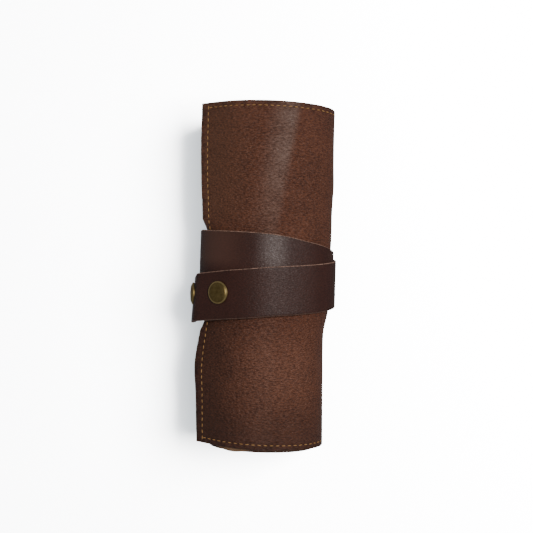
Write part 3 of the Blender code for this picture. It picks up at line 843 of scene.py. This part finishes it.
def make_strap(name, start, stop, cut, stand_at=None):
    """Length of strap between two polar angles. Near stand_at it starts to stand off."""
    def place(along, across, height):
        stand = 0.0
        if stand_at:
            free = smooth((along - stand_at + 14.0) / 20.0)
            stand = free * (TIP_STAND - TIP_TWIST * across / STRAP_WIDE)
        y = through(STRAP_ROUTE, along) + across * strap_half(along) / (STRAP_WIDE / 2)
        return strap_point(along, height, y, stand)

    alongs = between(start, stop, max(round((stop - start) / 2.5), 4))
    acrosses = between(-STRAP_WIDE / 2, STRAP_WIDE / 2, 20)
    return leather_sheet(name, alongs, acrosses, place, STRAP_THICK, (STRAP_SCALE, 1.0),
                         STRAP_LEATHER, cut)


def angle_of(point):
    """Polar angle of a hinge on the strap's last turn."""
    return min(between(2 * TURN, TIP_END, 1600),
               key=lambda angle: (strap_point(angle, STRAP_THICK, point.y) - point).length)


ROOT = angle_of(HINGES["strap_lift"])
BEND = angle_of(HINGES["strap_bend"])
PEEL = angle_of(HINGES["tip_peel"])
TAIL_SPLIT = (ROOT + BEND) / 2
MID_SPLIT = SNAP_ANGLE + 1.0
HALF_BEND = 11.0                          # degrees of strap on each side of a hinge
WOUND_END = ROOT - HALF_BEND - 4.0

wound = make_strap("wound_strap", STRAP_START, WOUND_END, (True, False))
tail = make_strap("loose_strap_root", WOUND_END, TAIL_SPLIT, (False, False))
middle = make_strap("loose_strap_middle", TAIL_SPLIT, MID_SPLIT, (False, False))
tip = make_strap("loose_strap_tip", MID_SPLIT, TIP_END, (False, True), PEEL)


# ---- Snaps ----

def rub_attribute(obj, seat, radius):
    """Mark the places of a turned part that handling keeps bright."""
    layer = obj.data.attributes.new("rub", "FLOAT", "POINT")
    inverse = seat.inverted()
    for vert, item in zip(obj.data.vertices, layer.data):
        local = inverse @ vert.co
        reach = math.hypot(local.x, local.y) / radius
        item.value = math.exp(-((reach - 0.93) / 0.06) ** 2)


def arc(radius, height, reach, rise, start, stop, count):
    """Points of a rounded corner, by angle from straight out."""
    return [(radius + reach * math.cos(math.radians(a)), height + rise * math.sin(math.radians(a)))
            for a in between(start, stop, count)]


def make_cap(place, angle, stand):
    """Domed cap with a rolled rim, its rivet, and the socket under the strap."""
    low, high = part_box("snap_cap_" + place)
    y = (low.y + high.y) / 2
    radius = (high.y - low.y) / 2
    span = (angle - SEAT_HALF, angle + SEAT_HALF)
    seat = seat_frame(span, STRAP_THICK, y, stand)
    crown = [(radius * 0.86 * math.sin(math.radians(a)), 0.00125 + 0.0011 * math.cos(math.radians(a)))
             for a in between(90.0, 4.0, 14)]
    profile = [(0.0, -STRAP_THICK), (0.0014, -STRAP_THICK), (0.0014, -0.00005), (radius * 0.96, -0.00005)]
    profile += arc(radius * 0.955, 0.00055, radius * 0.045, 0.0006, -90.0, 100.0, 8)
    profile += [(radius * 0.90, 0.00108)] + crown + [(0.0, 0.00235)]
    cap = turned("snap_cap_dome_" + place, profile, seat, BRASS)
    rub_attribute(cap, seat, radius)
    low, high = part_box("snap_socket_" + place)
    wide = (high.y - low.y) / 2
    under = seat_frame(span, 0.0, y, stand)
    cup = [(0.0, -0.0003), (wide, -0.0003), (wide, -0.0007), (wide - 0.0004, -0.0009),
           (wide - 0.0005, -0.0015), (wide - 0.0008, -0.0016), (0.0036, -0.0016), (0.0034, -0.0014),
           (0.0034, -0.0008), (0.0, -0.0008)]
    socket = turned("snap_socket_cup_" + place, cup, under, BRASS)
    rub_attribute(socket, under, wide)
    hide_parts("snap_cap_" + place)
    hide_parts("snap_socket_" + place)
    return cap, socket


front_cap, front_socket = make_cap("front", SNAP_ANGLE, 0.0)
side_cap, side_socket = make_cap("side", SIDE_SNAP, TIP_STAND)

stud_low, stud_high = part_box("snap_stud")
stud_y = (stud_low.y + stud_high.y) / 2
stud_seat = seat_frame((STUD_ANGLE - SEAT_HALF, STUD_ANGLE + SEAT_HALF), STRAP_THICK, stud_y)
stud_shape = [(0.0, -0.0058), (0.0014, -0.0058), (0.0014, -0.00005), (0.0031, -0.00005), (0.0031, 0.0002),
              (0.0022, 0.0003), (0.0018, 0.0004), (0.0019, 0.0006), (0.0017, 0.0008), (0.0, 0.00085)]
stud = turned("snap_stud_ball", stud_shape, stud_seat, BRASS, 48)
rub_attribute(stud, stud_seat, 0.0045)
post_seat = stud_seat @ Matrix.Translation((0.0, 0.0, -0.0059))
post_shape = [(0.0, -0.0006), (0.0034, -0.0006), (0.0040, -0.0003), (0.0040, 0.0), (0.0, 0.0)]
post = turned("snap_post_head", post_shape, post_seat, BRASS, 48)
rub_attribute(post, post_seat, 0.004)


# ---- Which body each piece rides on; the three loose strap pieces are attached to none ----

for piece, node, name in (
        (panel, "outer_panel", "roll_leather"), (lining, "lining_panel", "lining_leather"),
        (pocket, "pencil_pocket", "lining_leather"), (front_stitches, "front_edge_thread", "thread"),
        (top_stitches, "top_edge_thread", "thread"), (bottom_stitches, "bottom_edge_thread", "thread"),
        (wound, "strap_wrap", "strap_leather"), (stud, "snap_stud", "antique_brass"),
        (post, "snap_post", "antique_brass")):
    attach(piece, "case")
    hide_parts(node)

for piece, bodies, span, node in (
        (tail, ("case", "strap_tail"), (ROOT - HALF_BEND, ROOT + HALF_BEND), "strap_tail"),
        (middle, ("strap_tail", "strap_mid"), (BEND - HALF_BEND, BEND + HALF_BEND), "strap_mid"),
        (tip, ("strap_mid", "strap_tip"), (PEEL - 2.0, SIDE_SNAP - 9.0), "strap_tip")):
    start, end = (strap_point(angle, STRAP_THICK / 2, 0.0) for angle in span)
    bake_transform(piece)
    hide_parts(node)

for piece, body in ((front_cap, "strap_mid"), (front_socket, "strap_mid"),
                    (side_cap, "strap_tip"), (side_socket, "strap_tip")):
    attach(piece, body)


# ---- Floor, lights and camera ----

def make_floor():
    """White table that takes the object's shadow but sends no light back up at it."""
    bm = bmesh.new()
    bmesh.ops.create_grid(bm, x_segments=1, y_segments=1, size=2.0)
    material, _, shader = start_material("white_table", 0.9)
    shader.inputs["Base Color"].default_value = (0.93, 0.935, 0.945, 1.0)
    floor = plain_object("studio_floor", bm, material)
    floor.visible_diffuse = False
    floor.visible_glossy = False
    return floor


def area_light(name, place, aim, power, size, colour, only=None):
    """Soft square lamp. With only, it lights nothing but that object."""
    data = bpy.data.lights.new(name, "AREA")
    data.energy = power
    data.size = size
    data.color = colour
    lamp = bpy.data.objects.new(name, data)
    lamp.location = place
    lamp.rotation_euler = (Vector(aim) - Vector(place)).to_track_quat("-Z", "Y").to_euler()
    bpy.context.scene.collection.objects.link(lamp)
    if only:
        lit = bpy.data.collections.new(name + "_lights")
        lit.objects.link(only)
        lamp.light_linking.receiver_collection = lit


def make_camera():
    """Camera straight above the case, turned a little."""
    data = bpy.data.cameras.new("camera")
    data.lens = 45.2
    data.sensor_width = 36.0
    camera = bpy.data.objects.new("camera", data)
    camera.location = (0.0015, 0.0064, 0.450)
    camera.rotation_euler = (0.0, 0.0, math.radians(1.7))
    bpy.context.scene.collection.objects.link(camera)
    bpy.context.scene.camera = camera


table = make_floor()
area_light("key_light", (0.40, 0.18, 0.95), (0.0, 0.0, 0.02), 6.2, 0.30, (1.0, 0.985, 0.96))
area_light("table_light", (0.78, 0.22, 0.80), (0.0, 0.0, 0.0), 270.0, 0.80, (1.0, 0.995, 0.99), table)
area_light("table_fill", (-0.2, 0.0, 1.2), (0.0, 0.0, 0.0), 42.0, 2.0, (0.90, 0.96, 1.0), table)
world = bpy.data.worlds.new("soft_room")
world.use_nodes = True
world.node_tree.nodes["Background"].inputs[0].default_value = (0.93, 0.96, 1.0, 1.0)
world.node_tree.nodes["Background"].inputs[1].default_value = 0.25
bpy.context.scene.world = world
make_camera()
